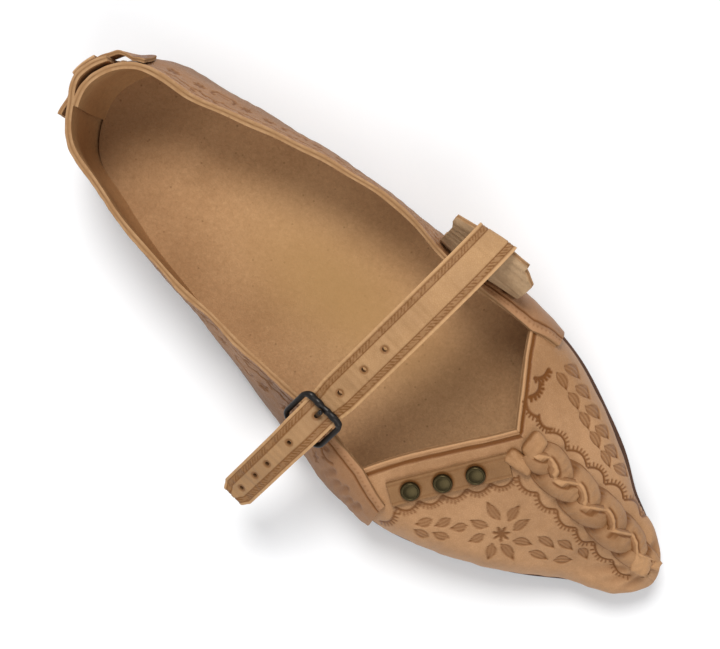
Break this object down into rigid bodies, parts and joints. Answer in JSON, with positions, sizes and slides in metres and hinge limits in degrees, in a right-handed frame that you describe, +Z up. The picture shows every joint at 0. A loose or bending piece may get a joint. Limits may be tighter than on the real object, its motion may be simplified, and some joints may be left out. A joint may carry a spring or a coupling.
{
  "type": "leather moccasin",
  "caption": "Right-foot folk moccasin of tooled tan leather with a V throat, a laced toe braid, three rivets and a buckled instep strap.",
  "frame": {"origin": "on the underside of the sole at mid-length, on the shoe's centre line", "axes": "+X to the toe, +Y to the medial side (the wearer's left), +Z up from the floor"},
  "size_m": [0.2643, 0.1282, 0.0674],
  "materials": {
    "sole_edge": "dark stained sole leather",
    "insole_suede": "napped flesh side, worn",
    "tan_leather": "natural vegetable tan, satin, tooled",
    "pale_leather": "natural vegetable tan, satin, paler",
    "old_brass": "antiqued, dark olive, worn rims",
    "black_metal": "blackened, worn on the edges"
  },
  "bodies": {
    "root": {"outsole": "sole_edge", "insole": "insole_suede", "upper": "tan_leather", "rivet_1": "old_brass", "rivet_2": "old_brass", "rivet_3": "old_brass", "rivet_band": "pale_leather", "braid": "pale_leather", "buckle_frame": "black_metal", "buckle_prong": "black_metal", "strap": "pale_leather", "buckle_tab": "tan_leather", "heel_thong": "pale_leather"}
  },
  "joints": []
}
